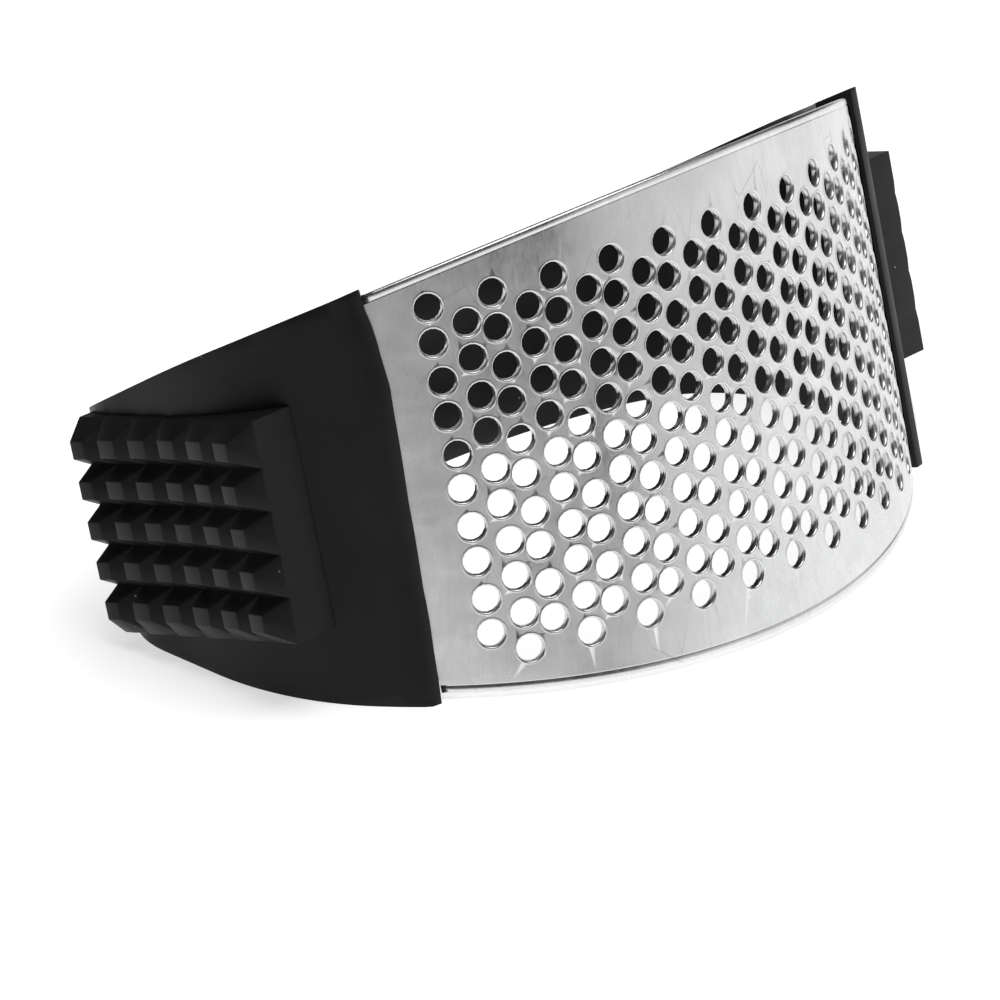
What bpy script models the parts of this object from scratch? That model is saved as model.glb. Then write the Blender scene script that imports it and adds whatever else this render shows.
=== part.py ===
"""Rocker garlic press: a curved, perforated steel plate closed to a ring by a black plastic frame.

The frame holds both ends of the plate, carries a toothed pad on each side and runs on as a
bar across the back.

Frame: metres, +Z up, standing on one long side edge.  X runs along the rocker's length, the
convex side of the plate faces -Y and the back bar +Y.

Everything is drawn first in the rocker's own axes, in millimetres:
  u  along the length, 0 in the middle
  v  from the lowest line of the curve towards the back bar
  w  across the width, 0 on the middle plane
and then carried to the standing pose by world().
"""
import bpy
import bmesh
from math import sin, cos, tan, radians, sqrt
from mathutils import Vector
from mathutils.geometry import delaunay_2d_cdt

# ---------------------------------------------------------------- driving dimensions (mm, deg)
R_OUT = 70.0            # radius of the plate's outer, convex face
SHEET = 1.0             # steel thickness
TAPER = 15.81           # each long edge is trimmed at this angle to the middle plane
HALF_W = 31.15          # half width of the plate at its lowest line
EDGE_PROUD = 0.9        # the frame stands this far proud of the plate's long edges
TH_LIP = 43.0           # the plate disappears into the frame at this angle
TH_TAB = 50.0           # the hidden tab of the plate ends here
GAP = 0.3               # clearance between neighbouring pieces

HOLE_R = 1.765          # holes, punched in two staggered passes
HOLE_SIDES = 8
HOLE_ROWS = 10
HOLE_COLS = 23
ROW_PAIR = 9.445        # two rows
COL_PAIR = 8.244        # two columns, measured round the outer face
FIRST_S = -45.12        # first column, measured round the outer face
FIRST_W = 22.66         # first row of the first column

LIP_R = 71.8            # outer radius of the frame where it starts
BEND_R = 30.5           # tighter bend of the frame
TH_BEND = 50.0          # angle where the tighter bend starts
SIDE_V = 52.6           # end of the frame's straight sides
CORNER_R = 12.0         # outer radius of the two rear corners
BACK_V = 71.8           # outer face of the back bar at its middle
BACK_R = 182.0          # and its radius
IN_V = 65.2             # inner face of the back bar at its middle
IN_R = 140.0            # and its radius
IN_CORNER = (35.0, 40.0, 19.8)   # inner corner: centre u, v and radius
RIM = 2.2               # side walls of the slot that holds the plate
TOP_DROP = 0.8          # the upper side of the back bar sits this much lower

TIP_U = 65.4            # plane of the tooth tips
TIP_V = 30.2            # centre of the first tooth column
TOOTH_PV = 5.37         # tooth pitch along the grip
TOOTH_PW = 5.45         # tooth pitch across the grip
TIP_LV = 2.9            # flat tip, along the grip
TIP_LW = 2.35           # flat tip, across the grip
TOOTH_H = 2.7           # depth of the valleys
HOLLOW = 0.9            # the tips of the middle columns sit this far back
BASE_U = 63.5           # top of the block that carries the teeth
BASE_V = 26.2           # its wall towards the plate
BASE_W = 14.35          # half its width
PAD_END = 57.6          # its wall towards the back
SEAT = 1.5              # the pads sit this deep in the frame
TEETH_V = 6
TEETH_W = 5

A = radians(TAPER)
Z0 = (HALF_W + EDGE_PROUD) * cos(A)


def half_at(v, extra=0.0):
    """Half width at v: the trimmed edge, plus extra."""
    return HALF_W + extra - tan(A) * v


def top_at(v):
    """Upper half width of the frame, a little lower over the back bar."""
    t = min(max((v - 35.0) / 30.0, 0.0), 1.0)
    return half_at(v, EDGE_PROUD - TOP_DROP * t * t * (3.0 - 2.0 * t))


# the depth runs from the plate's lower front edge to the upper edge of the back bar
Y_LOW = -HALF_W * sin(A)
Y_BACK = BACK_V * cos(A) + top_at(BACK_V) * sin(A)
Y_SHIFT = -(Y_LOW + Y_BACK) / 2.0


def world(u, v, w):
    """Rocker axes (mm) to the standing pose (m)."""
    y = v * cos(A) + w * sin(A) + Y_SHIFT
    z = Z0 - v * sin(A) + w * cos(A)
    return Vector((u / 1000.0, y / 1000.0, z / 1000.0))


# ---------------------------------------------------------------- helpers
for ob in list(bpy.data.objects):
    bpy.data.objects.remove(ob, do_unlink=True)


def material(name, color, metallic, rough):
    mat = bpy.data.materials.new(name)
    mat.use_nodes = True
    bsdf = mat.node_tree.nodes["Principled BSDF"]
    bsdf.inputs["Base Color"].default_value = (*color, 1.0)
    bsdf.inputs["Metallic"].default_value = metallic
    bsdf.inputs["Roughness"].default_value = rough
    return mat


def make_object(name, verts, faces, mat=None):
    """Mesh object from rocker-frame points; normals are made to face outward."""
    mesh = bpy.data.meshes.new(name)
    mesh.from_pydata([world(*p) for p in verts], [], faces)
    bm = bmesh.new()
    bm.from_mesh(mesh)
    bmesh.ops.remove_doubles(bm, verts=bm.verts, dist=1e-6)
    bmesh.ops.recalc_face_normals(bm, faces=bm.faces)
    bm.to_mesh(mesh)
    bm.free()
    ob = bpy.data.objects.new(name, mesh)
    bpy.context.scene.collection.objects.link(ob)
    if mat is not None:
        mesh.materials.append(mat)
    return ob


def boolean(ob, cutter, operation):
    mod = ob.modifiers.new(cutter.name, "BOOLEAN")
    mod.operation = operation
    mod.solver = "EXACT"
    mod.object = cutter
    bpy.context.view_layer.objects.active = ob
    ob.select_set(True)
    bpy.ops.object.modifier_apply(modifier=mod.name)
    ob.select_set(False)
    bpy.data.objects.remove(cutter, do_unlink=True)


def smooth(ob, angle):
    ob.data.shade_smooth()
    ob.data.set_sharp_from_angle(angle=radians(angle))


def loft(name, rings, mat=None):
    """Closed solid through rings of four points."""
    verts = [p for ring in rings for p in ring]
    faces = []
    for i in range(len(rings) - 1):
        a, b = 4 * i, 4 * (i + 1)
        for k in range(4):
            m = (k + 1) % 4
            faces.append((a + k, a + m, b + m, b + k))
    last = 4 * (len(rings) - 1)
    faces.append((0, 1, 2, 3))
    faces.append((last, last + 1, last + 2, last + 3))
    return make_object(name, verts, faces, mat)


# ---------------------------------------------------------------- perforated plate
def hole_centres():
    """Two punching passes, each slightly out of step with the other."""
    out = []
    for col in range(HOLE_COLS):
        base = FIRST_S + (col // 2) * COL_PAIR
        for row in range(HOLE_ROWS):
            if col % 2 == 0:
                ds, dw = ((0.0, 0.0), (-0.22, 4.46))[row % 2]
            else:
                ds, dw = ((4.39, 2.88), (4.24, 7.47))[row % 2]
            out.append((base + ds, FIRST_W - (row // 2) * ROW_PAIR - dw))
    return out


def edge_of_plate(s):
    """Half width of the plate at arc position s on the outer face."""
    th = abs(s) / R_OUT
    v = R_OUT * (1.0 - cos(th))
    if th > radians(TH_LIP - 0.1):
        return half_at(v, EDGE_PROUD) - RIM - GAP
    return half_at(v)


def plate(mat):
    shoulder = R_OUT * radians(TH_LIP) - GAP
    tab = R_OUT * radians(TH_TAB)
    # fold lines between the hole columns
    lines = [-shoulder, FIRST_S - 2.05]
    for pair in range(HOLE_COLS // 2 + 1):
        lines.append(FIRST_S + pair * COL_PAIR + 2.2)
        if pair < HOLE_COLS // 2:
            lines.append(FIRST_S + pair * COL_PAIR + 6.2)
    lines.append(shoulder)
    tab_w = edge_of_plate(tab)
    sh_w = half_at(R_OUT * (1 - cos(shoulder / R_OUT)), EDGE_PROUD) - RIM - GAP

    verts, edges = [], []

    def add(s, w):
        verts.append(Vector((s, w)))
        return len(verts) - 1

    top = [add(s, half_at(R_OUT * (1 - cos(s / R_OUT)))) for s in lines]
    bottom = [add(s, -verts[t].y) for s, t in zip(lines, top)]
    tabs = {}
    for side in (-1, 1):
        tabs[side] = (add(side * shoulder, sh_w), add(side * tab, tab_w),
                      add(side * tab, -tab_w), add(side * shoulder, -sh_w))
    for i in range(len(lines) - 1):
        edges += [(top[i], top[i + 1]), (bottom[i], bottom[i + 1])]
    edges += [(top[i], bottom[i]) for i in range(1, len(lines) - 1)]
    for side, i in ((-1, 0), (1, len(lines) - 1)):
        a, b, c, d = tabs[side]
        edges += [(top[i], a), (a, b), (b, c), (c, d), (d, bottom[i]), (a, d)]
    holes = hole_centres()
    for s, w in holes:
        ring = [add(s + HOLE_R * cos(radians(360.0 * (k + 0.5) / HOLE_SIDES)),
                    w + HOLE_R * sin(radians(360.0 * (k + 0.5) / HOLE_SIDES)))
                for k in range(HOLE_SIDES)]
        edges += [(ring[k], ring[(k + 1) % HOLE_SIDES]) for k in range(HOLE_SIDES)]

    flat, _, tris, _, _, _ = delaunay_2d_cdt(verts, edges, [], 0, 1e-5)
    keep = []
    for t in tris:
        cs = sum(flat[i].x for i in t) / 3.0
        cw = sum(flat[i].y for i in t) / 3.0
        if abs(cs) > tab or abs(cw) > edge_of_plate(cs):
            continue
        if any((cs - s) ** 2 + (cw - w) ** 2 < (HOLE_R * 0.92) ** 2 for s, w in holes):
            continue
        keep.append(tuple(t))

    def bent(p, r):
        th = p.x / R_OUT
        return (r * sin(th), R_OUT - r * cos(th), p.y)

    n = len(flat)
    pts = [bent(p, R_OUT) for p in flat] + [bent(p, R_OUT - SHEET) for p in flat]
    faces = list(keep) + [(c + n, b + n, a + n) for a, b, c in keep]
    used = {}
    for a, b, c in keep:
        for e in ((a, b), (b, c), (c, a)):
            used[e] = True
    for a, b in sorted(used):
        if (b, a) not in used:
            faces.append((b, a, a + n, b + n))
    ob = make_object("plate", pts, faces, mat)
    bm = bmesh.new()
    bm.from_mesh(ob.data)
    bmesh.ops.delete(bm, geom=[v for v in bm.verts if not v.link_faces], context="VERTS")
    bm.to_mesh(ob.data)
    bm.free()
    smooth(ob, 30)
    return ob


# ---------------------------------------------------------------- frame and pads
BEND_U = (LIP_R - BEND_R) * sin(radians(TH_BEND))
BEND_V = R_OUT - (LIP_R - BEND_R) * cos(radians(TH_BEND))
SIDE_U = BEND_U + BEND_R
CORNER_U = SIDE_U - CORNER_R


def arc(cu, cv, r, first, last, steps):
    """Points on an arc; the angle is measured from +u towards +v."""
    return [(cu + r * cos(radians(first + (last - first) * k / steps)),
             cv + r * sin(radians(first + (last - first) * k / steps))) for k in range(steps + 1)]


def spaced(points, count):
    """The same line drawn with evenly spaced points."""
    length = [0.0]
    for (a, b), (c, d) in zip(points, points[1:]):
        length.append(length[-1] + sqrt((c - a) ** 2 + (d - b) ** 2))
    out, i = [], 0
    for k in range(count):
        at = length[-1] * k / (count - 1)
        while i < len(points) - 2 and length[i + 1] < at:
            i += 1
        t = (at - length[i]) / (length[i + 1] - length[i])
        (a, b), (c, d) = points[i], points[i + 1]
        out.append((a + (c - a) * t, b + (d - b) * t))
    return out


def outer_line():
    """Right half of the outer face, from the lip to the middle of the back bar."""
    lip = [((LIP_R - 0.9) * sin(radians(TH_LIP)), R_OUT - (LIP_R - 0.9) * cos(radians(TH_LIP)))]
    rest = arc(0.0, R_OUT, LIP_R, TH_LIP + 1.2 - 90.0, TH_BEND - 90.0, 3)
    rest += arc(BEND_U, BEND_V, BEND_R, TH_BEND - 90.0, 0.0, 8)[1:]
    rest += arc(CORNER_U, SIDE_V, CORNER_R, 0.0, 76.0, 7)
    for k in range(1, 9):
        u = 52.0 * (1.0 - k / 8.0) * 0.98
        rest.append((u, BACK_V - BACK_R + sqrt(BACK_R ** 2 - u * u)))
    return lip + spaced(rest, 27)


def inner_line():
    """Right half of the inner face, from the lip to the middle of the back bar."""
    cu, cv, r = IN_CORNER
    rest = [(46.3, 23.2), (48.6, 26.0), (51.6, 30.0), (53.8, 34.6)]
    rest += arc(cu, cv, r, 0.0, 70.0, 8)
    for k in range(1, 9):
        u = 39.0 * (1.0 - k / 8.0)
        rest.append((u, IN_V - IN_R + sqrt(IN_R ** 2 - u * u)))
    return [(44.94, 21.8)] + spaced(rest, 27)


def mirrored(line):
    return line + [(-u, v) for u, v in reversed(line[:-1])]


def band(name, outer, inner, top, bottom, mat=None):
    """Solid between two lines, bounded by top(v) and -bottom(v) across the width."""
    rings = []
    for (uo, vo), (ui, vi) in zip(outer, inner):
        rings.append(((uo, vo, top(vo)), (ui, vi, top(vi)),
                      (ui, vi, -bottom(vi)), (uo, vo, -bottom(vo))))
    return loft(name, rings, mat)


def slot(side):
    """Space for one tab of the plate."""
    lo, hi = R_OUT - SHEET - GAP, R_OUT + GAP
    angles = [TH_LIP - 4.0, TH_LIP, 46.5, TH_TAB + 0.3]
    outer = [(side * hi * sin(radians(t)), R_OUT - hi * cos(radians(t))) for t in angles]
    inner = [(side * lo * sin(radians(t)), R_OUT - lo * cos(radians(t))) for t in angles]

    def across(v):
        return half_at(v, EDGE_PROUD - RIM)

    return band("slot", outer, inner, across, across)


def skin_u(v):
    """u of the frame's outer face at v, between the pads' two ends."""
    if v < BEND_V:
        return BEND_U + sqrt(BEND_R ** 2 - (BEND_V - v) ** 2)
    if v <= SIDE_V:
        return SIDE_U
    return CORNER_U + sqrt(CORNER_R ** 2 - (v - SIDE_V) ** 2)


def block(name, side, v0, v1, near, far, half_w):
    """Block from near(v) to far(v), following the frame's outer face between v0 and v1."""
    rings = []
    for k in range(9):
        v = v0 + (v1 - v0) * k / 8.0
        rings.append(((side * far(v), v, half_w), (side * near(v), v, half_w),
                      (side * near(v), v, -half_w), (side * far(v), v, -half_w)))
    return loft(name, rings)


def tooth_pad(side, tag, mat):
    """Toothed pad: a comb across the grip meets a saw along it, leaving rows of pointed teeth."""
    deep = BASE_U - 9.5
    comb = [(deep, BASE_W), (BASE_U, BASE_W)]
    for row in range(TEETH_W):
        c = (2 - row) * TOOTH_PW
        comb.append((TIP_U + 0.6, c + TIP_LW / 2.0))
        comb.append((TIP_U + 0.6, c - TIP_LW / 2.0))
        if row < TEETH_W - 1:
            comb.append((TIP_U + 0.6 - TOOTH_H, c - TOOTH_PW / 2.0))
    comb += [(BASE_U, -BASE_W), (deep, -BASE_W)]
    n = len(comb)
    verts = [(side * u, 10.0, w) for u, w in comb] + [(side * u, PAD_END, w) for u, w in comb]
    faces = [tuple(range(n)), tuple(range(2 * n - 1, n - 1, -1))]
    faces += [(i, (i + 1) % n, (i + 1) % n + n, i + n) for i in range(n)]
    pad = make_object("grip_pad_" + tag, verts, faces, mat)

    first = TIP_V - TIP_LV / 2.0
    saw = [(deep, BASE_V), (BASE_U, BASE_V)]
    for k in range(TEETH_V):
        x = (k - 2.5) / 2.5
        tip = TIP_U + HOLLOW * (x * x - 0.35)
        a = first + k * TOOTH_PV
        saw.append((tip, a))
        saw.append((tip - 0.05, a + TIP_LV))
        if k < TEETH_V - 1:
            saw.append((tip - TOOTH_H + 0.25, a + TIP_LV + 0.12))
    saw += [(BASE_U - 9.5, PAD_END + 1.0)]
    n = len(saw)
    verts = [(side * u, v, -40.0) for u, v in saw] + [(side * u, v, 40.0) for u, v in saw]
    faces = [tuple(range(n)), tuple(range(2 * n - 1, n - 1, -1))]
    faces += [(i, (i + 1) % n, (i + 1) % n + n, i + n) for i in range(n)]
    boolean(pad, make_object("saw", verts, faces), "INTERSECT")
    boolean(pad, block("under", side, BASE_V - 1.0, PAD_END + 2.0, lambda v: 40.0,
                       lambda v: skin_u(v) - SEAT, BASE_W + 1.0), "DIFFERENCE")
    smooth(pad, 25)
    return pad


def frame(mat):
    body = band("frame", mirrored(outer_line()), mirrored(inner_line()), top_at,
                lambda v: half_at(v, EDGE_PROUD), mat)
    for side in (-1, 1):
        boolean(body, slot(side), "DIFFERENCE")
        boolean(body, block("seat_cut", side, BASE_V - GAP, PAD_END + GAP,
                            lambda v: skin_u(v) - SEAT - GAP, lambda v: 75.0, BASE_W + GAP),
                "DIFFERENCE")
    smooth(body, 25)
    return body


steel = material("stainless_steel", (0.62, 0.62, 0.61), 1.0, 0.28)
plastic = material("black_plastic", (0.018, 0.018, 0.019), 0.0, 0.48)

plate(steel)
frame(plastic)
tooth_pad(-1, "left", plastic)
tooth_pad(1, "right", plastic)
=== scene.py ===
# %% [markdown]
# # A rocker garlic press
# The tool is one sheet of punched stainless steel, rolled to an arc, and a black plastic frame that
# closes it to a ring, with a toothed grip pad on each side. This lesson starts from the packed
# engineering model, which fixes every size, and replaces its plain pieces with finished ones:
# rounded edges, pressed hole rims, moulded teeth, and surfaces with the marks that making and handling leave.

# %% Load the fixed frame
import bpy
import bmesh
from math import sin, cos, tan, radians, degrees, sqrt, atan2, hypot
from mathutils import Vector, Matrix, noise
from mathutils.kdtree import KDTree


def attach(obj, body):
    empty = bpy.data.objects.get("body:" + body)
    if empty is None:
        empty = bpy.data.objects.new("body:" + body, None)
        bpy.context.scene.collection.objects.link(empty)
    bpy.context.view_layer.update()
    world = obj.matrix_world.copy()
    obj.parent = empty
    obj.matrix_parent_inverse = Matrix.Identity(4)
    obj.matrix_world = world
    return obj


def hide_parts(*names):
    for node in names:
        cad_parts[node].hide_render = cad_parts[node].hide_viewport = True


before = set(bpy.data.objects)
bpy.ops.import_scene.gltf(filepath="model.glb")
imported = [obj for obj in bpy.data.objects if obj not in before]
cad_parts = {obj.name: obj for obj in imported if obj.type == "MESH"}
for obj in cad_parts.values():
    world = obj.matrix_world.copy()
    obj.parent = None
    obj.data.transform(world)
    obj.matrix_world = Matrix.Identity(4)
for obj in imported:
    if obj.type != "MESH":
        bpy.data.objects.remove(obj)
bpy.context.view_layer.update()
print("pieces in the frame:", sorted(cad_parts))

# %% [markdown]
# ## The tool's own axes
# It is far easier to draw a curved tool in axes of its own, in millimetres: u along its length,
# v from the lowest line of the curve towards the back bar, w across the width. One function then
# carries every finished point to the standing pose. The long edges are cut at an angle, so the
# tool leans back when it stands on one of them, and that angle is the tilt.

# %% Sizes and the standing pose
R_OUT = 70.0          # outer radius of the steel
SHEET = 1.0           # its thickness
TAPER = radians(15.81)
HALF_W = 31.15        # half width at the lowest line
PROUD = 0.9           # the plastic stands this far outside the steel's cut edges
Y_SHIFT = -31.7860
Z_SHIFT = 30.8376


def half_width(v, extra=0.0):
    """Half width of the tool at v."""
    return HALF_W + extra - tan(TAPER) * v


def stand(p, side=1.0):
    """A point in the tool's axes, in millimetres, to the standing pose, in metres."""
    u, v, w = p
    y = v * cos(TAPER) + w * sin(TAPER) + Y_SHIFT
    z = Z_SHIFT - v * sin(TAPER) + w * cos(TAPER)
    return Vector((side * u, y, z)) / 1000.0


print("lowest line of the curve stands at", [round(c * 1000, 1) for c in stand((0, 0, 0))])

# %% [markdown]
# A finished bmesh becomes an object in one place, so that every piece is treated alike: normals
# turned outward, object at the origin, smooth shading with sharp edges kept sharp.

# %% From a bmesh to a finished piece
def settle(bm, name, material, side=1.0, sharp=35.0):
    """Object from a bmesh in the tool's axes; the bmesh is used up."""
    for vert in bm.verts:
        vert.co = stand(vert.co, side)
    bmesh.ops.recalc_face_normals(bm, faces=bm.faces)
    open_edges = sum(1 for e in bm.edges if len(e.link_faces) != 2)
    mesh = bpy.data.meshes.new(name)
    bm.to_mesh(mesh)
    bm.free()
    mesh.shade_smooth()
    mesh.set_sharp_from_angle(angle=radians(sharp))
    mesh.materials.append(material)
    piece = bpy.data.objects.new(name, mesh)
    bpy.context.scene.collection.objects.link(piece)
    print(f"{name}: {len(mesh.polygons)} faces, {open_edges} open edges")
    return piece


# %% Boolean on two meshes
def boolean(piece, other, operation):
    """Cuts other out of piece, or joins it on, and removes other."""
    step = piece.modifiers.new(operation.lower(), "BOOLEAN")
    step.operation = operation
    step.solver = "EXACT"
    step.object = other
    bpy.context.view_layer.update()
    result = bpy.data.meshes.new_from_object(piece.evaluated_get(bpy.context.evaluated_depsgraph_get()))
    piece.modifiers.clear()
    old = piece.data
    piece.data = result
    bpy.data.meshes.remove(old)
    bpy.data.objects.remove(other, do_unlink=True)
    return piece


# %% [markdown]
# ## Shader helpers
# Both finishes are built from a few layers of noise. These helpers keep the node code short: one
# adds a node and sets its sockets, one maps a value to a range, and one mixes two colours.

# %% Node helpers
class Finish:
    """A Principled material with short calls for its nodes."""

    def __init__(self, name, **sockets):
        self.mat = bpy.data.materials.new(name)
        self.mat.use_nodes = True
        self.tree = self.mat.node_tree
        self.bsdf = self.tree.nodes["Principled BSDF"]
        for key, value in sockets.items():
            self.bsdf.inputs[key.replace("_", " ")].default_value = value
        self.place = self.tree.nodes.new("ShaderNodeTexCoord").outputs["Object"]

    def add(self, kind, props=None, **sockets):
        node = self.tree.nodes.new(kind)
        for key, value in (props or {}).items():
            setattr(node, key, value)
        for key, value in sockets.items():
            self.set(node.inputs[key.replace("_", " ")], value)
        return node

    def set(self, socket, value):
        if isinstance(value, bpy.types.NodeSocket):
            self.tree.links.new(value, socket)
        else:
            socket.default_value = value

    def turned(self, scale, angle=(0.0, 0.0, 0.0), shift=(0.0, 0.0, 0.0)):
        node = self.add("ShaderNodeMapping", Vector=self.place)
        node.inputs["Location"].default_value = shift
        node.inputs["Rotation"].default_value = angle
        node.inputs["Scale"].default_value = scale
        return node.outputs["Vector"]

    def noise(self, vector, scale, detail=3.0, rough=0.5, distort=0.0):
        node = self.add("ShaderNodeTexNoise", Vector=vector, Scale=scale, Detail=detail,
                        Roughness=rough, Distortion=distort)
        return node.outputs["Fac"]

    def ramp(self, value, low, high, to_low=0.0, to_high=1.0):
        node = self.add("ShaderNodeMapRange", {"interpolation_type": "SMOOTHSTEP"}, Value=value)
        for key, number in zip(("From Min", "From Max", "To Min", "To Max"), (low, high, to_low, to_high)):
            node.inputs[key].default_value = number
        return node.outputs["Result"]

    def math(self, kind, a, b=0.0):
        node = self.add("ShaderNodeMath", {"operation": kind})
        self.set(node.inputs[0], a)
        self.set(node.inputs[1], b)
        return node.outputs[0]

    def mix(self, factor, a, b):
        node = self.add("ShaderNodeMix", {"data_type": "RGBA"})
        self.set(node.inputs["Factor"], factor)
        self.set(node.inputs[6], a if isinstance(a, bpy.types.NodeSocket) else (*a, 1.0))
        self.set(node.inputs[7], b if isinstance(b, bpy.types.NodeSocket) else (*b, 1.0))
        return node.outputs[2]

    def bump(self, height, strength, distance, before=None):
        node = self.add("ShaderNodeBump", Height=height, Strength=strength, Distance=distance)
        if before is not None:
            self.tree.links.new(before, node.inputs["Normal"])
        return node.outputs["Normal"]

    def link(self, value, name):
        self.tree.links.new(value, self.bsdf.inputs[name])


# %% [markdown]
# ## Stainless steel
# The sheet is bright rolled steel, polished after punching. What makes it read as steel and not
# as grey paint is unevenness: faint grain across the arc, a sheet that waves by a few hundredths
# of a millimetre, smoky patches where fingers and cleaning have dulled it, darkened in the colour as
# painted dark reflection, and a few scratches.
# All of it is laid in the standing pose, tilted with the tool so that the grain follows the width.

# %% Steel finish
steel = Finish("rolled_steel", Metallic=1.0, Roughness=0.2, Anisotropic=0.35)
lean = (TAPER, 0.0, 0.0)
grain = steel.noise(steel.turned((900.0, 900.0, 28.0), lean), 1.0, 4.0, 0.6)
fine_grain = steel.noise(steel.turned((3200.0, 3200.0, 60.0), lean), 1.0, 2.0, 0.5)
# Large smoky patches: in the roughness they are real dulling from handling, in the colour they are painted
# dark reflection.
dulling_and_painted_reflection = steel.noise(steel.turned((1.0, 1.0, 0.75), lean), 48.0, 5.0, 0.55, 0.8)
mottle = steel.noise(steel.place, 260.0, 3.0, 0.6)
scratch = steel.add("ShaderNodeTexVoronoi", {"feature": "DISTANCE_TO_EDGE"},
                    Vector=steel.turned((260.0, 40.0, 60.0), (0.5, 0.3, 0.9)), Scale=1.0).outputs["Distance"]
scratches = steel.math("MULTIPLY", steel.ramp(scratch, 0.0, 0.012, 1.0, 0.0), steel.ramp(dulling_and_painted_reflection, 0.45, 0.62))
# Base colour darker in the smoky patches: painted dark reflection.
tone = steel.mix(steel.ramp(dulling_and_painted_reflection, 0.38, 0.66), (0.68, 0.685, 0.69), (0.79, 0.79, 0.785))
tone = steel.mix(steel.ramp(grain, 0.3, 0.75, 0.0, 0.22), tone, (0.5, 0.5, 0.5))
tone = steel.mix(steel.math("MULTIPLY", scratches, 0.35), tone, (0.32, 0.32, 0.33))
steel.link(tone, "Base Color")
rough = steel.math("ADD", steel.ramp(dulling_and_painted_reflection, 0.3, 0.7, 0.20, 0.30), steel.ramp(mottle, 0.3, 0.7, 0.0, 0.06))
steel.link(steel.math("ADD", rough, steel.ramp(fine_grain, 0.3, 0.7, 0.0, 0.05)), "Roughness")
wave = steel.bump(steel.noise(steel.turned((1.0, 1.0, 1.6), lean), 95.0, 2.0, 0.4), 0.13, 0.0006)
wave = steel.bump(grain, 0.05, 0.00003, wave)
steel.link(wave, "Normal")
print("steel nodes:", len(steel.tree.nodes))

# %% [markdown]
# ## Moulded plastic
# Frame and pads are unpainted black plastic from a fine-textured mould. The colour hardly changes; the
# gloss does. A soft mottle in the roughness and a very fine grain keep large faces from looking
# like a flat cut-out, and dry white dust sits on them in scattered specks.

# %% Plastic finish
def plastic_finish(name, shift):
    f = Finish(name, Roughness=0.45)
    f.bsdf.inputs["Specular IOR Level"].default_value = 0.2
    cloud = f.noise(f.turned((1, 1, 1), shift=shift), 60.0, 4.0, 0.55)
    flow = f.noise(f.turned((1.0, 1.0, 0.25), lean, shift), 210.0, 3.0, 0.5)
    pebble = f.noise(f.place, 2600.0, 2.0, 0.6)
    colour = f.mix(f.ramp(cloud, 0.35, 0.65), (0.0075, 0.0075, 0.0078), (0.012, 0.012, 0.0125))
    dots = f.add("ShaderNodeTexVoronoi", {"feature": "F1"}, Vector=f.turned((1, 1, 1), shift=shift),
                 Scale=330.0, Randomness=1.0)
    pick = f.ramp(f.add("ShaderNodeSeparateColor", Color=dots.outputs["Color"]).outputs["Red"],
                  0.68, 0.74)
    size = f.ramp(dots.outputs["Distance"], 0.03, 0.055, 1.0, 0.0)
    dust = f.math("MULTIPLY", f.math("MULTIPLY", size, pick), f.ramp(cloud, 0.44, 0.54, 0.15, 0.8))
    f.link(f.mix(dust, colour, (0.62, 0.61, 0.58)), "Base Color")
    gloss = f.math("ADD", f.ramp(cloud, 0.3, 0.7, 0.36, 0.46), f.ramp(flow, 0.3, 0.7, 0.0, 0.06))
    f.link(f.math("ADD", gloss, f.math("MULTIPLY", dust, 0.4)), "Roughness")
    grain_bump = f.bump(pebble, 0.12, 0.00006)
    f.link(f.bump(flow, 0.05, 0.0002, grain_bump), "Normal")
    return f.mat


frame_black = plastic_finish("moulded_black", (0.0, 0.0, 0.0))
pad_black = plastic_finish("moulded_black_pad", (0.3, 0.1, 0.2))

# %% [markdown]
# ## The perforated plate
# The real sheet is punched flat and rolled afterwards, and the same order works here. In the flat
# layout x is the distance round the outer face, y is the width and z the height above that face.
# The punch tool makes two staggered passes, so the holes come in pairs of columns.

# %% Where the holes are
HOLE_R = 1.765
RIM_R = 1.24 * HOLE_R     # where the pressed rim starts to rise
COLUMNS, ROWS = 23, 10


def hole_centres():
    centres = []
    for col in range(COLUMNS):
        first = -45.12 + (col // 2) * 8.244
        for row in range(ROWS):
            if col % 2 == 0:
                step = ((0.0, 0.0), (-0.22, 4.46))[row % 2]
            else:
                step = ((4.39, 2.88), (4.24, 7.47))[row % 2]
            centres.append(Vector((first + step[0], 22.66 - (row // 2) * 9.445 - step[1], 0.0)))
    return centres


holes = hole_centres()
finder = KDTree(len(holes))
for number, centre in enumerate(holes):
    finder.insert(centre, number)
finder.balance()
print(len(holes), "holes")

# %% [markdown]
# The outline follows the cut edge, less the narrow worn strip along it, and then steps in to the
# hidden tabs that the frame holds. Circles go in as loops of edges, and one triangle fill makes the
# sheet between them. Cuts across the sheet every three millimetres let it bend smoothly.

# %% The flat sheet with its openings
STRIP = 1.1               # the worn strip along each long edge
S_STEP = R_OUT * radians(43.3)
S_TAB = R_OUT * radians(48.5)
TAB_IN = 1.75


def cut_width(s):
    return half_width(R_OUT * (1.0 - cos(s / R_OUT)))


def outline():
    side = [(-S_STEP + 2 * S_STEP * i / 48, None) for i in range(49)]
    upper = [Vector((s, cut_width(s) - STRIP, 0.0)) for s, _ in side]
    right = [Vector((S_STEP, cut_width(S_STEP) - TAB_IN, 0.0)),
             Vector((S_TAB, cut_width(S_TAB) - TAB_IN, 0.0))]
    upper += right
    lower = [Vector((p.x, -p.y, 0.0)) for p in reversed(upper)]
    left = [Vector((-p.x, p.y, 0.0)) for p in reversed(right)]
    return left + upper + lower + [Vector((p.x, -p.y, 0.0)) for p in reversed(left)]


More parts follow.
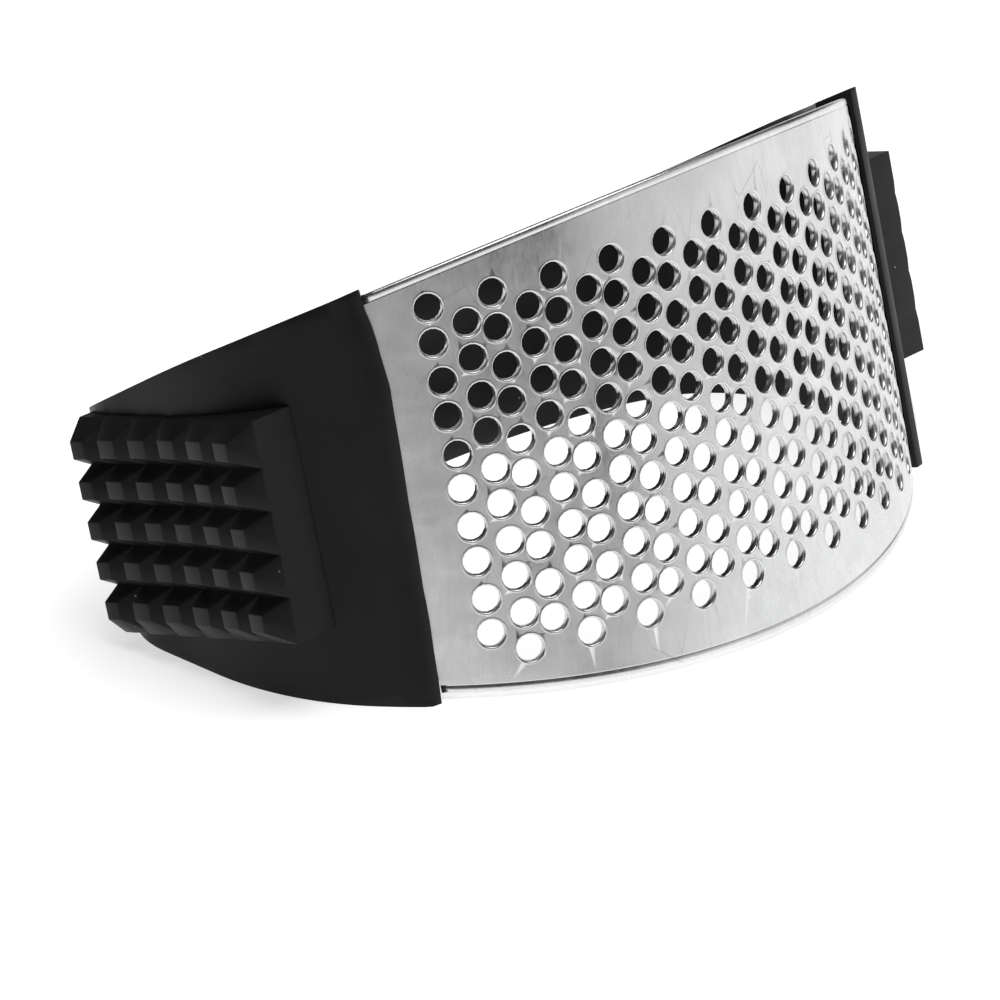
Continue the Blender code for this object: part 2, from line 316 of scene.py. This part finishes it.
def keep_apart(centre, verts):
    """Draws a rim's outline in where the next hole is so close that the two rims would meet."""
    for near, _, distance in finder.find_range(centre, 2.0 * RIM_R):
        if distance < 0.1:
            continue
        toward = (near - centre) / distance
        for vert in verts:
            arm = vert.co - centre
            ahead = arm.dot(toward)
            if ahead > distance / 2.0 - 0.03:
                vert.co = centre + arm * ((distance / 2.0 - 0.03) / ahead)


def flat_sheet():
    bm = bmesh.new()
    loop = [bm.verts.new(p) for p in outline()]
    for a, b in zip(loop, loop[1:] + loop[:1]):
        bm.edges.new((a, b))
    for c in holes:
        made = bmesh.ops.create_circle(bm, segments=16, radius=RIM_R, matrix=Matrix.Translation(c))
        keep_apart(c, made["verts"])
    bmesh.ops.triangle_fill(bm, edges=bm.edges[:], use_beauty=True, normal=(0.0, 0.0, 1.0))
    stray = [f for f in bm.faces if all(finder.find(v.co)[2] < RIM_R + 0.01 for v in f.verts)
             and finder.find(f.calc_center_median())[2] < RIM_R * 0.93
             and len({finder.find(v.co)[1] for v in f.verts}) == 1]
    bmesh.ops.delete(bm, geom=stray, context="FACES_ONLY")
    s = -S_TAB + 2.0
    while s < S_TAB:
        bmesh.ops.bisect_plane(bm, geom=bm.verts[:] + bm.edges[:] + bm.faces[:], dist=0.0005,
                               plane_co=(s, 0.0, 0.0), plane_no=(1.0, 0.0, 0.0))
        s += 3.0
    for face in bm.faces:
        if face.normal.z < 0:
            face.normal_flip()
    print("flat sheet:", len(bm.faces), "faces,", sum(f.calc_area() for f in bm.faces) / 100, "cm2")
    return bm


# %% [markdown]
# A punched hole is not a plain circle. The punch lifts a low rounded rim round it and then goes
# straight through. Each loop of edges is extruded and drawn in, ring by ring: up to the top of the
# rim, over it, down into the hole, and along the wall. The long edges are finished in the same way,
# with a fine groove, a narrow strip and a rounded corner.

# %% Rings round the holes and along the edges
def open_edges(bm, test):
    return [e for e in bm.edges if len(e.link_faces) == 1 and all(test(v.co) for v in e.verts)]


def draw_ring(bm, edges, move):
    """Extrudes a loop of edges and moves its new points; returns the new edges."""
    made = bmesh.ops.extrude_edge_only(bm, edges=edges)["geom"]
    for vert in (g for g in made if isinstance(g, bmesh.types.BMVert)):
        vert.co = move(vert.co)
    return [g for g in made if isinstance(g, bmesh.types.BMEdge) and all(v in made for v in g.verts)
            and len(g.link_faces) == 1]


def to_ring(radius, height):
    def move(p):
        centre = holes[finder.find((p.x, p.y, 0.0))[1]]
        out = Vector((p.x - centre.x, p.y - centre.y, 0.0))
        reach = min(radius, max(HOLE_R, out.length - 0.04))
        return centre + out.normalized() * reach + Vector((0.0, 0.0, height))
    return move


def to_edge(outward, height):
    def move(p):
        w = cut_width(p.x) - STRIP + outward
        return Vector((p.x, w if p.y > 0 else -w, height))
    return move


def round_the_hole(p):
    return finder.find((p.x, p.y, 0.0))[2] < RIM_R + 0.02


def on_cut_edge(p):
    return abs(p.x) <= S_STEP + 0.001 and abs(abs(p.y) - cut_width(p.x) + STRIP) < 0.03


# %% The sheet gets its rims, edges and thickness
def solid_sheet():
    bm = flat_sheet()
    front = bm.faces[:]
    back = bmesh.ops.duplicate(bm, geom=front)["geom"]
    back_verts = [g for g in back if isinstance(g, bmesh.types.BMVert)]
    back_faces = [g for g in back if isinstance(g, bmesh.types.BMFace)]
    bmesh.ops.reverse_faces(bm, faces=back_faces)
    bmesh.ops.translate(bm, verts=back_verts, vec=(0.0, 0.0, -SHEET))

    ring = open_edges(bm, lambda p: p.z > -0.5 and round_the_hole(p))
    for factor, height in ((1.14, 0.09), (1.05, 0.05), (1.0, -0.16), (1.0, -SHEET)):
        ring = draw_ring(bm, ring, to_ring(factor * HOLE_R, height))
    ring = open_edges(bm, lambda p: p.z < -SHEET + 0.01 and finder.find((p.x, p.y, 0))[2] > HOLE_R * 1.1
                      and round_the_hole(p))
    draw_ring(bm, ring, to_ring(HOLE_R, -SHEET))

    edge = open_edges(bm, lambda p: p.z > -0.5 and on_cut_edge(p))
    for outward, height in ((0.06, -0.07), (0.17, -0.07), (0.24, -0.01), (0.86, -0.03), (1.03, -0.10),
                            (STRIP, -0.26), (STRIP, -0.82), (0.97, -SHEET)):
        edge = draw_ring(bm, edge, to_edge(outward, height))
    edge = open_edges(bm, lambda p: p.z < -0.5 and on_cut_edge(p))
    draw_ring(bm, edge, to_edge(0.97, -SHEET))
    ends = open_edges(bm, lambda p: p.z > -0.001 and abs(p.x) >= S_STEP - 0.001 and not on_cut_edge(p))
    ends += open_edges(bm, lambda p: p.z > -0.001 and abs(abs(p.x) - S_STEP) < 0.001)
    draw_ring(bm, list(set(ends)), lambda p: Vector((p.x, p.y, -SHEET)))
    bmesh.ops.remove_doubles(bm, verts=bm.verts, dist=0.0008)
    holes_left = [e for e in bm.edges if len(e.link_faces) == 1]
    if holes_left:
        bmesh.ops.holes_fill(bm, edges=holes_left, sides=60)
    print("solid sheet:", len(bm.faces), "faces,", len(holes_left), "edges closed at the tabs")
    return bm


# %% [markdown]
# Rolling is one move for every point: the distance round the face becomes an angle, and the height
# becomes a little more or less radius. Long thin fill triangles would make averaged normals wobble,
# and bright steel shows that at once, so the broad faces are given the true normal of the arc.

# %% Roll the sheet and finish the piece
def roll(p):
    angle, radius = p.x / R_OUT, R_OUT + p.z
    return Vector((radius * sin(angle), R_OUT - radius * cos(angle), p.y))


def steel_plate():
    bm = solid_sheet()
    broad = bm.verts.layers.int.new("broad")
    for vert in bm.verts:
        clear = finder.find((vert.co.x, vert.co.y, 0.0))[2] > RIM_R - 0.02
        inside = abs(vert.co.y) < cut_width(vert.co.x) - STRIP + 0.03
        if clear and inside:
            vert[broad] = 1 if vert.co.z > -0.001 else (-1 if vert.co.z < -SHEET + 0.001 else 0)
        vert.co = roll(vert.co)
    piece = settle(bm, "perforated_steel_plate", steel.mat, sharp=38.0)
    mesh = piece.data
    centre_line = stand((0.0, R_OUT, 0.0))
    along = (stand((0, 0, 1)) - stand((0, 0, 0))).normalized()
    flags = [d.value for d in mesh.attributes["broad"].data]
    normals = []
    for vert, flag in zip(mesh.vertices, flags):
        out = vert.co - centre_line
        out = (out - along * out.dot(along)).normalized()
        normals.append(out * flag if flag else Vector((0.0, 0.0, 0.0)))
    mesh.attributes.remove(mesh.attributes["broad"])
    mesh.normals_split_custom_set_from_vertices(normals)
    return piece


plate = steel_plate()
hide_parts("plate")
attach(plate, "root")

# %% [markdown]
# ## The frame
# The frame is one bar that runs from lip to lip round the back. Seen along the width it has one
# outline: the arc of the lip, a tighter bend, a straight side, a round corner and the flat arch of
# the back bar. An outer and an inner line are drawn for the right half and mirrored. The faces
# between them are extruded across the width, up to the two slanted side planes.

# %% The outline of the frame
LIP_R = 71.8                    # outer radius of the frame at the lip
BEND_R = 30.5                   # and of the tighter bend behind it
TH_LIP, TH_BEND = 43.0, 50.0    # where the lip and the bend start, in degrees
BEND_C = Vector(((LIP_R - BEND_R) * sin(radians(TH_BEND)),
                 R_OUT - (LIP_R - BEND_R) * cos(radians(TH_BEND))))
SIDE_V, CORNER_R = 52.6, 12.0   # end of the straight side, radius of the rear corner
CORNER_U = BEND_C.x + BEND_R - CORNER_R
BACK_V, BACK_R = 71.75, 182.0   # outer face of the back bar
IN_V, IN_R = 65.25, 140.0       # inner face of the back bar
IN_CORNER = (35.0, 40.0, 19.8)  # inner corner: centre and radius
RIM, PLAY = 2.2, 0.3            # walls of the slot for the steel, and its clearance
SEAT, FIT = 1.5, 0.05           # depth of the seat for a pad, and its clearance


def arc(centre_u, centre_v, r, first, last, steps):
    """Points on an arc, the angle measured from +u towards +v."""
    angles = [radians(first + (last - first) * k / steps) for k in range(steps + 1)]
    return [(centre_u + r * cos(a), centre_v + r * sin(a)) for a in angles]


def flat_arch(top, r, reach, steps):
    """Half of a flat arch, from reach to the middle."""
    us = [reach * (1.0 - k / steps) for k in range(steps + 1)]
    return [(u, top - r + sqrt(r * r - u * u)) for u in us]


def spaced(points, count):
    """The same line drawn with evenly spaced points."""
    length = [0.0]
    for a, b in zip(points, points[1:]):
        length.append(length[-1] + hypot(b[0] - a[0], b[1] - a[1]))
    out, i = [], 0
    for k in range(count):
        at = length[-1] * k / (count - 1)
        while i < len(points) - 2 and length[i + 1] < at:
            i += 1
        t = (at - length[i]) / (length[i + 1] - length[i])
        out.append(tuple(a + (b - a) * t for a, b in zip(points[i], points[i + 1])))
    return out


def frame_lines(count):
    """Outer and inner line of the right half, with the same number of points."""
    lip = [(LIP_R - drop, TH_LIP + step) for drop, step in ((0.95, 0.0), (0.12, 1.1), (0.0, 2.0))]
    lip = [(r * sin(radians(th)), R_OUT - r * cos(radians(th))) for r, th in lip]
    rest = arc(0.0, R_OUT, LIP_R, TH_LIP + 3.2 - 90.0, TH_BEND - 90.0, 6)
    rest += arc(BEND_C.x, BEND_C.y, BEND_R, TH_BEND - 90.0, 0.0, 24)[1:]
    rest += arc(CORNER_U, SIDE_V, CORNER_R - 0.05, 0.0, 76.0, 20)
    rest += flat_arch(BACK_V, BACK_R, 48.0, 24)
    inside = [(46.3, 23.2), (48.6, 26.0), (51.6, 30.0), (53.8, 34.6)]
    inside += arc(*IN_CORNER, 0.0, 70.0, 24) + flat_arch(IN_V, IN_R, 38.0, 24)
    inner_lip = [(44.94, 21.8), (45.4, 22.27), (45.85, 22.74)]
    return lip + spaced(rest, count), inner_lip + spaced(inside, count)


def mirrored(line):
    return line + [(-u, v) for u, v in reversed(line[:-1])]


outer_line, inner_line = frame_lines(72)
print("points along half of the frame:", len(outer_line))


# %% A bar between two lines
def bar(outer, inner, top, bottom, slices=1):
    """Closed bar between two lines of (u, v), from w = -bottom(v) to w = top(v)."""
    bm = bmesh.new()
    steps = len(outer) - 1
    bmesh.ops.create_grid(bm, x_segments=steps, y_segments=1, size=1.0)
    for vert in bm.verts:
        i = round((vert.co.x + 1.0) / 2.0 * steps)
        u, v = (outer if vert.co.y > 0.0 else inner)[i]
        vert.co = Vector((u, v, -bottom(v)))
    made = bmesh.ops.extrude_face_region(bm, geom=bm.faces[:], use_keep_orig=True)["geom"]
    for vert in (g for g in made if isinstance(g, bmesh.types.BMVert)):
        vert.co.z = top(vert.co.y)
    for i in range(1, slices):
        bmesh.ops.bisect_plane(bm, geom=bm.verts[:] + bm.edges[:] + bm.faces[:],
                               plane_co=(0, 0, -28.0 + 56.0 * i / slices), plane_no=(0, 0, 1))
    bmesh.ops.recalc_face_normals(bm, faces=bm.faces)
    return bm


def side_plane(v):
    """Side of the frame that it stands on."""
    return half_width(v, PROUD)


def upper_side(v):
    """Upper side of the frame, which drops a little towards the back bar."""
    t = min(max((v - 35.0) / 30.0, 0.0), 1.0)
    return half_width(v, PROUD - 0.8 * t * t * (3.0 - 2.0 * t))


def slot_side(v):
    """Side of the slot that holds the steel."""
    return half_width(v, PROUD - RIM)


def soften(bm, radius, angle=32.0, segments=2, among=None):
    """Rounds every edge sharper than angle."""
    edges = [e for e in bm.edges if len(e.link_faces) == 2 and e.calc_face_angle(0.0) > radians(angle)
             and (among is None or among(e))]
    bmesh.ops.bevel(bm, geom=edges, offset=radius, offset_type="OFFSET", affect="EDGES", segments=segments,
                    profile=0.5, material=-1, clamp_overlap=True)


# %% [markdown]
# The lip that overlaps the steel is not straight. It bulges over the sheet in the
# middle of the width and draws back at the corners, with a slightly uneven flash line. The bend is
# a small turn about the centre line of the arc, which fades out behind the lip.

# %% The bowed lip
BOW = ((-28.0, 0.55), (-24.0, 0.35), (-14.0, 0.05), (-2.0, -0.25), (8.0, -0.55), (14.0, -0.7),
       (20.0, -0.35), (25.0, 0.25), (28.0, 0.6))


def bow_at(w):
    for (w0, a), (w1, b) in zip(BOW, BOW[1:]):
        if w <= w1:
            t = max(0.0, min(1.0, (w - w0) / (w1 - w0)))
            return a + (b - a) * t * t * (3.0 - 2.0 * t) + 0.05 * noise.noise((w * 0.9, 3.0, 1.0))
    return BOW[-1][1]


def bow_lip(bm):
    for vert in bm.verts:
        side = 1.0 if vert.co.x > 0.0 else -1.0
        u, v = abs(vert.co.x), vert.co.y
        angle, radius = degrees(atan2(u, R_OUT - v)), hypot(u, R_OUT - v)
        if angle < TH_LIP + 3.5:
            angle += bow_at(vert.co.z) * max(0.0, 1.0 - (angle - TH_LIP) / 3.5)
            vert.co.x = side * radius * sin(radians(angle))
            vert.co.y = R_OUT - radius * cos(radians(angle))
            vert.co.z = max(vert.co.z, -half_width(vert.co.y, PROUD))


# %% [markdown]
# The inner face of the back bar is not flat either: a shallow channel runs along it and fades out
# towards both corners.

# %% The channel along the inside of the back bar
CHANNEL_DEPTH, CHANNEL_HALF, CHANNEL_REACH = 0.9, 6.5, 34.0


def press_channel(bm):
    for vert in bm.verts:
        u, v, w = vert.co
        wall = IN_V - IN_R + sqrt(IN_R ** 2 - u * u)
        if abs(v - wall) < 0.2 and abs(u) < CHANNEL_REACH and v > 50.0:
            ends = min(1.0, (CHANNEL_REACH - abs(u)) / 6.0)
            depth = max(0.0, 1.0 - (w / CHANNEL_HALF) ** 4)
            vert.co.y += CHANNEL_DEPTH * ends * depth


# %% [markdown]
# ## The toothed pad
# The teeth are a comb across the pad crossed with a saw along it. That is a surface of heights
# over a grid: lines run along the tips, the valleys and the walls, and each crossing gets its
# height. The tips follow a shallow hollow, so that they fit round the heel of a hand.

# %% Grid lines and heights of the pad
TIP_U, TIP_V = 65.4, 30.2                          # plane of the tips, first column of teeth
TIP_MAX = 65.97                                    # no tip stands further out
PITCH_V, DEPTH = 5.37, 2.65                        # pitch along the pad, depth of the valleys
TIP_LV, TIP_LW = 2.9, 2.35                         # flat tip, along and across
PAD_MIDDLE, PAD_HALF = 43.0, 13.2
BASE_U, BASE_V, BASE_W, PAD_END = 63.5, 26.2, 14.35, 57.6   # block that carries the teeth


def tip_height(v):
    """Height of the tips at v: a shallow hollow, a little lower in the last column."""
    x = (v - PAD_MIDDLE) / PAD_HALF
    return min(TIP_U + 0.9 * (x * x - 0.35) - (0.25 if x > 0.6 else 0.0), TIP_MAX)


def lines_along():
    """(v, kind) of every grid line across the pad: w wall, t tip, g valley."""
    lines = [(BASE_V, "w")]
    for k in range(6):
        start = TIP_V - 1.45 + k * PITCH_V + (0.3 if k == 0 else 0.0)
        lines.append((start, "t"))
        lines.append((min(TIP_V - 1.45 + k * PITCH_V + TIP_LV, PAD_END), "t"))
        if k < 5:
            lines.append((TIP_V - 1.45 + k * PITCH_V + TIP_LV + 0.12, "g"))
    return lines


def lines_across():
    """(row offset in pitches, offset in mm, kind) of every grid line along the pad."""
    lines = [(0.0, BASE_W, "w")]
    for row in range(5):
        lines.append((2 - row, TIP_LW / 2.0, "t"))
        lines.append((2 - row, -TIP_LW / 2.0, "t"))
        if row < 4:
            lines.append((1.5 - row, 0.0, "g"))
    return lines + [(0.0, -BASE_W, "w")]


# %% The pad as a solid with rounded teeth
def skin_u(v):
    """u of the frame's outer face at v."""
    if v < BEND_C.y:
        return BEND_C.x + sqrt(BEND_R ** 2 - (BEND_C.y - v) ** 2)
    if v <= SIDE_V:
        return BEND_C.x + BEND_R
    return CORNER_U + sqrt(CORNER_R ** 2 - (v - SIDE_V) ** 2)


def tooth_pad(side, tag):
    rows_v, rows_w = lines_along(), lines_across()
    bm = bmesh.new()
    bmesh.ops.create_grid(bm, x_segments=len(rows_v) - 1, y_segments=len(rows_w) - 1, size=1.0)
    kinds = {}
    for vert in bm.verts:
        i = round((vert.co.x + 1.0) / 2.0 * (len(rows_v) - 1))
        j = round((1.0 - vert.co.y) / 2.0 * (len(rows_w) - 1))
        (v, kind_v), (row, shift, kind_w) = rows_v[i], rows_w[j]
        pitch = 5.53 - 0.21 * (v - TIP_V) / 26.85
        kind = kind_v + kind_w
        height = tip_height(v)
        if "g" in kind:
            height -= DEPTH
        if "w" in kind:
            height = min(height, BASE_U)
        vert.co = Vector((height, v, row * pitch + shift))
        kinds[vert] = kind
    for face in list(bm.faces):
        tips = [v for v in face.verts if kinds[v] == "tt"]
        if len(tips) == 1:
            ring = list(face.verts)
            other = ring[(ring.index(tips[0]) + 2) % 4]
            bmesh.utils.face_split(face, tips[0], other)
    toothed = set(bm.verts)
    made = bmesh.ops.extrude_face_region(bm, geom=bm.faces[:], use_keep_orig=True)["geom"]
    for vert in (g for g in made if isinstance(g, bmesh.types.BMVert)):
        vert.co.x = skin_u(vert.co.y) - SEAT
    bmesh.ops.recalc_face_normals(bm, faces=bm.faces)
    soften(bm, 0.17, 24.0, 2, among=lambda e: e.verts[0] in toothed and e.verts[1] in toothed)
    return settle(bm, "toothed_pad_" + tag, pad_black, side)


# %% [markdown]
# Last come the places where the pieces meet: a slot at each lip, where the steel runs in, and a
# shallow seat in each side for the foot of the pad.

# %% Frame and pads together
CLEAR_OF_FRAME = 75.0
SLOT_ANGLES = (TH_LIP - 5.0, TH_LIP, 46.5, 50.3)


def slot_for_steel(side):
    over, under = ([(r * sin(radians(t)), R_OUT - r * cos(radians(t))) for t in SLOT_ANGLES]
                   for r in (R_OUT + PLAY, R_OUT - SHEET - PLAY))
    return settle(bar(over, under, slot_side, slot_side), "slot", frame_black, side)


def seat_side(v):
    """Side of a seat: the same at every v, since a pad has parallel sides."""
    return BASE_W + FIT


def seat_for_pad(side):
    start, end = BASE_V - FIT, PAD_END + FIT
    vs = [start + (end - start) * k / 24.0 for k in range(25)]
    foot = [(skin_u(v) - SEAT - FIT, v) for v in vs]
    above = [(CLEAR_OF_FRAME, v) for v in vs]
    return settle(bar(above, foot, seat_side, seat_side), "seat", frame_black, side)


def black_frame():
    bm = bar(mirrored(outer_line), mirrored(inner_line), upper_side, side_plane, slices=28)
    soften(bm, 0.4, 34.0)
    bow_lip(bm)
    press_channel(bm)
    body = settle(bm, "black_frame", frame_black, 1.0, 30.0)
    for side in (-1.0, 1.0):
        boolean(body, slot_for_steel(side), "DIFFERENCE")
        boolean(body, seat_for_pad(side), "DIFFERENCE")
    body.data.shade_smooth()
    body.data.set_sharp_from_angle(angle=radians(30.0))
    return body


finished = ((black_frame(), "frame"), (tooth_pad(-1.0, "left"), "grip_pad_left"),
            (tooth_pad(1.0, "right"), "grip_pad_right"))
for piece, node in finished:
    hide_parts(node)
    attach(piece, "root")
    print(piece.name, len(piece.data.polygons), "faces")

# %% [markdown]
# ## The studio
# The tool stands on a white table in soft white light. Steel shows only what is round it, so the
# room is white with a soft unevenness, and a wide lamp stands where the sheet mirrors it towards the
# camera. A second lamp overhead gives the shadow. The table glows a little, so that it stays white.

# %% Table and room
floor_bm = bmesh.new()
bmesh.ops.create_grid(floor_bm, x_segments=2, y_segments=2, size=3.0)
floor_mesh = bpy.data.meshes.new("table")
floor_bm.to_mesh(floor_mesh)
floor_bm.free()
table = bpy.data.objects.new("table", floor_mesh)
bpy.context.scene.collection.objects.link(table)
table_finish = Finish("white_table", Roughness=0.35)
table_finish.bsdf.inputs["Specular IOR Level"].default_value = 0.3
table_finish.link(table_finish.mix(table_finish.noise(table_finish.place, 40.0), (0.90, 0.90, 0.905),
                                   (0.92, 0.92, 0.925)), "Base Color")
table_finish.bsdf.inputs["Emission Color"].default_value = (1.0, 1.0, 1.0, 1.0)
table_finish.bsdf.inputs["Emission Strength"].default_value = 0.62
table.data.materials.append(table_finish.mat)

world = bpy.data.worlds.new("studio")
bpy.context.scene.world = world
world.use_nodes = True
room = world.node_tree
cloth = room.nodes.new("ShaderNodeTexNoise")
cloth.inputs["Scale"].default_value = 2.6
cloth.inputs["Detail"].default_value = 1.0
room.links.new(room.nodes.new("ShaderNodeTexCoord").outputs["Generated"], cloth.inputs["Vector"])
shade = room.nodes.new("ShaderNodeMapRange")
for key, number in (("From Min", 0.4), ("From Max", 0.6), ("To Min", 0.95), ("To Max", 1.15)):
    shade.inputs[key].default_value = number
room.links.new(cloth.outputs["Fac"], shade.inputs["Value"])
room.links.new(shade.outputs["Result"], room.nodes["Background"].inputs["Strength"])
bpy.context.scene.view_settings.view_transform = "Standard"


# %% Lamps
def lamp(name, place, aim, size, power):
    data = bpy.data.lights.new(name, "AREA")
    data.shape = "RECTANGLE"
    data.size, data.size_y = size
    data.energy = power
    ob = bpy.data.objects.new(name, data)
    ob.location = place
    ob.rotation_euler = (Vector(aim) - Vector(place)).to_track_quat("-Z", "Y").to_euler()
    bpy.context.scene.collection.objects.link(ob)
    return ob


lamp("overhead", (0.1, 0.0, 1.1), (0.0, 0.0, 0.0), (1.0, 1.0), 9.0)
lamp("mirror_side", (0.85, -1.0, 0.34), (0.0, 0.0, 0.03), (1.7, 0.66), 2.5)

# %% Camera at the height and angle of someone standing at the table
camera_data = bpy.data.cameras.new("camera")
camera_data.lens = 188.0
camera_data.sensor_width = 36.0
camera = bpy.data.objects.new("camera", camera_data)
camera.location = (-0.48149, -0.40733, 0.29690)
ahead = Vector((0.68396, 0.59611, -0.42054)).normalized()
right = Vector((0.66228, -0.74910, 0.01527)).normalized()
up = right.cross(ahead).normalized()
right = ahead.cross(up)
camera.rotation_euler = Matrix((right, up, -ahead)).transposed().to_euler()
bpy.context.scene.collection.objects.link(camera)
bpy.context.scene.camera = camera
print("camera looks along", [round(c, 3) for c in ahead])
